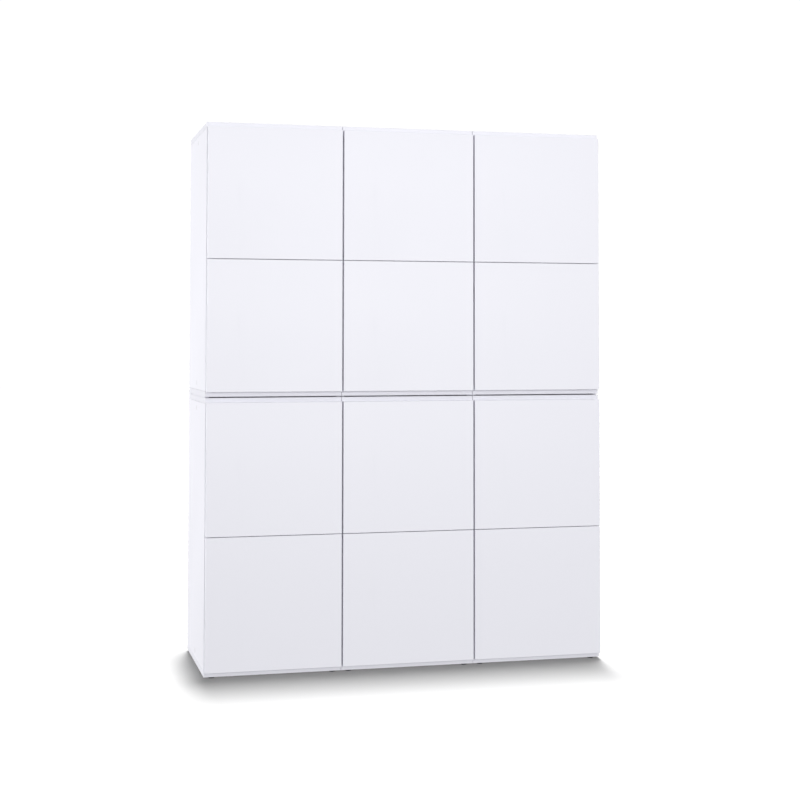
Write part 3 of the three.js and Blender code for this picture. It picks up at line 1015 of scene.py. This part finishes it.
class LOCKER_OT_studio(bpy.types.Operator):
    """Pale floor, soft lights and the camera"""
    bl_idname = "locker.studio"
    bl_label = "Studio"

    def execute(self, context):
        scene = context.scene
        stage = scene.locker_studio
        scene.view_settings.view_transform = "Standard"
        floor = self.floor(scene, stage)
        self.surround(scene, stage)
        self.floor_lights(scene, stage, floor)
        self.softboxes(scene, stage, floor)
        self.camera(scene, stage)
        return {"FINISHED"}

    def floor(self, scene, stage):
        """Pale floor that the camera sees lit and shadowed, and that lights the locker evenly."""
        floor_mesh = bpy.data.meshes.new("floor")
        r = FLOOR_REACH
        floor_mesh.from_pydata(
            [(-r, -r, 0), (r, -r, 0), (r, r, 0), (-r, r, 0)], [], [(0, 1, 2, 3)])
        material, tree, shader = new_material("Studio Floor")
        coords = tree.nodes.new("ShaderNodeTexCoord").outputs["Object"]
        cloud = noise_node(tree, coords, 0.8, 2.0)
        tint = scene.locker_colours.floor
        paper = mix_colour(tree, cloud, shade(tint, 0.995), shade(tint, 1.005))
        seen_paper = tree.nodes.new("ShaderNodeLightPath").outputs["Is Camera Ray"]
        visible = mix_colour(tree, seen_paper, BLACK, paper)
        tree.links.new(visible, shader.inputs["Base Color"])
        shader.inputs["Emission Color"].default_value = WHITE
        glow = spread(tree, seen_paper, stage.floor_bounce, 0.0)
        tree.links.new(glow, shader.inputs["Emission Strength"])
        shader.inputs["Roughness"].default_value = 0.9
        shader.inputs["Specular IOR Level"].default_value = 0.0
        floor_mesh.materials.append(material)
        floor = bpy.data.objects.new("studio_floor", floor_mesh)
        scene.collection.objects.link(floor)
        return floor

    def surround(self, scene, stage):
        """White surround, brighter to the camera than as a light."""
        world = bpy.data.worlds.new("Studio Surround")
        world.use_nodes = True
        scene.world = world
        nodes = world.node_tree.nodes
        links = world.node_tree.links
        background = nodes["Background"]
        seen = nodes.new("ShaderNodeBackground")
        for node, strength in ((background, stage.world_light), (seen, SEEN_SURROUND)):
            node.inputs["Color"].default_value = WHITE
            node.inputs["Strength"].default_value = strength
        rays = nodes.new("ShaderNodeLightPath")
        choose = nodes.new("ShaderNodeMixShader")
        links.new(rays.outputs["Is Camera Ray"], choose.inputs[0])
        links.new(background.outputs[0], choose.inputs[1])
        links.new(seen.outputs[0], choose.inputs[2])
        links.new(choose.outputs[0], nodes["World Output"].inputs["Surface"])

    def floor_lights(self, scene, stage, floor):
        """Suns that light the floor alone: a leaning row with shadows, and a fill without."""
        lit_floor = bpy.data.collections.new("Lit Floor")
        lit_floor.objects.link(floor)
        height = FLOOR_SUN_HEIGHT
        for i in range(FLOOR_SUNS):
            sun = bpy.data.lights.new(f"floor_strip_{i + 1}", "SUN")
            sun.energy = stage.floor_light / FLOOR_SUNS
            sun.angle = math.radians(FLOOR_SUN_ANGLE)
            back = math.tan(math.radians(FLOOR_SUN_BACK[0] + FLOOR_SUN_BACK[1] * i))
            right = math.tan(math.radians(FLOOR_SUN_RIGHT[0] + FLOOR_SUN_RIGHT[1] * i))
            lamp = self.place_light(
                scene, sun, (height * right, height * back, height), (0.0, 0.0, 0.0))
            lamp.light_linking.receiver_collection = lit_floor
        fill = bpy.data.lights.new("floor_fill", "SUN")
        fill.energy = stage.floor_fill
        fill.use_shadow = False
        lamp = self.place_light(scene, fill, (0.0, 0.0, height), (0.0, 0.0, 0.0))
        lamp.light_linking.receiver_collection = lit_floor

    def softboxes(self, scene, stage, floor):
        """Softboxes that light everything but the floor."""
        off_floor = bpy.data.collections.new("Off Floor")
        off_floor.objects.link(floor)
        off_floor.collection_objects[0].light_linking.link_state = "EXCLUDE"
        for label, wide, high, place, target in SOFTBOXES:
            light = bpy.data.lights.new(f"{label}_softbox", "AREA")
            light.shape = "RECTANGLE"
            light.size = wide
            light.size_y = high
            light.energy = getattr(stage, f"{label}_light")
            lamp = self.place_light(scene, light, place, target)
            lamp.light_linking.receiver_collection = off_floor

    def camera(self, scene, stage):
        camera_data = bpy.data.cameras.new("camera")
        camera_data.lens = stage.lens
        camera_data.sensor_width = 36.0
        camera_data.shift_x = stage.shift_across
        camera_data.shift_y = stage.shift_up
        camera = bpy.data.objects.new("camera", camera_data)
        camera.location = stage.camera_place
        camera.rotation_euler = (math.pi / 2 + stage.camera_tilt, 0, -stage.camera_turn)
        scene.collection.objects.link(camera)
        scene.camera = camera

    def place_light(self, scene, light, place, target):
        obj = bpy.data.objects.new(light.name, light)
        obj.location = place
        aim = Vector(target) - Vector(place)
        obj.rotation_euler = aim.to_track_quat("-Z", "Y").to_euler()
        scene.collection.objects.link(obj)
        return obj


OPERATORS = (
    LOCKER_OT_studio,
    LOCKER_OT_boards,
    LOCKER_OT_backs,
    LOCKER_OT_sides,
    LOCKER_OT_feet,
    LOCKER_OT_rails,
    LOCKER_OT_doors,
    LOCKER_OT_hinges,
    LOCKER_OT_latches,
)


class LOCKER_PT_panel(bpy.types.Panel):
    """Sizes, colours and steps of the locker"""
    bl_idname = "LOCKER_PT_panel"
    bl_label = "Parcel Locker"
    bl_space_type = "VIEW_3D"
    bl_region_type = "UI"
    bl_category = "Locker"

    def draw(self, context):
        layout = self.layout
        for title, group in GROUPS.items():
            box = layout.box()
            box.label(text=title.replace("locker_", "").capitalize())
            values = getattr(context.scene, title)
            for field in group.__annotations__:
                box.prop(values, field)
        for step in OPERATORS:
            layout.operator(step.bl_idname)


GROUPS = {
    "locker_boards": LockerBoardSizes,
    "locker_fittings": LockerFittingSizes,
    "locker_colours": LockerColours,
    "locker_studio": LockerStudio,
}


def register():
    for title, group in GROUPS.items():
        bpy.utils.register_class(group)
        setattr(bpy.types.Scene, title, PointerProperty(type=group))
    for step in OPERATORS:
        bpy.utils.register_class(step)
    bpy.utils.register_class(LOCKER_PT_panel)


def unregister():
    bpy.utils.unregister_class(LOCKER_PT_panel)
    for step in reversed(OPERATORS):
        bpy.utils.unregister_class(step)
    for title, group in reversed(GROUPS.items()):
        delattr(bpy.types.Scene, title)
        bpy.utils.unregister_class(group)


def main():
    register()
    bpy.ops.locker.studio()
    bpy.ops.locker.boards()
    bpy.ops.locker.backs()
    bpy.ops.locker.sides()
    bpy.ops.locker.feet()
    bpy.ops.locker.rails()
    bpy.ops.locker.doors()
    bpy.ops.locker.hinges()
    bpy.ops.locker.latches()


if __name__ == "__main__":
    main()
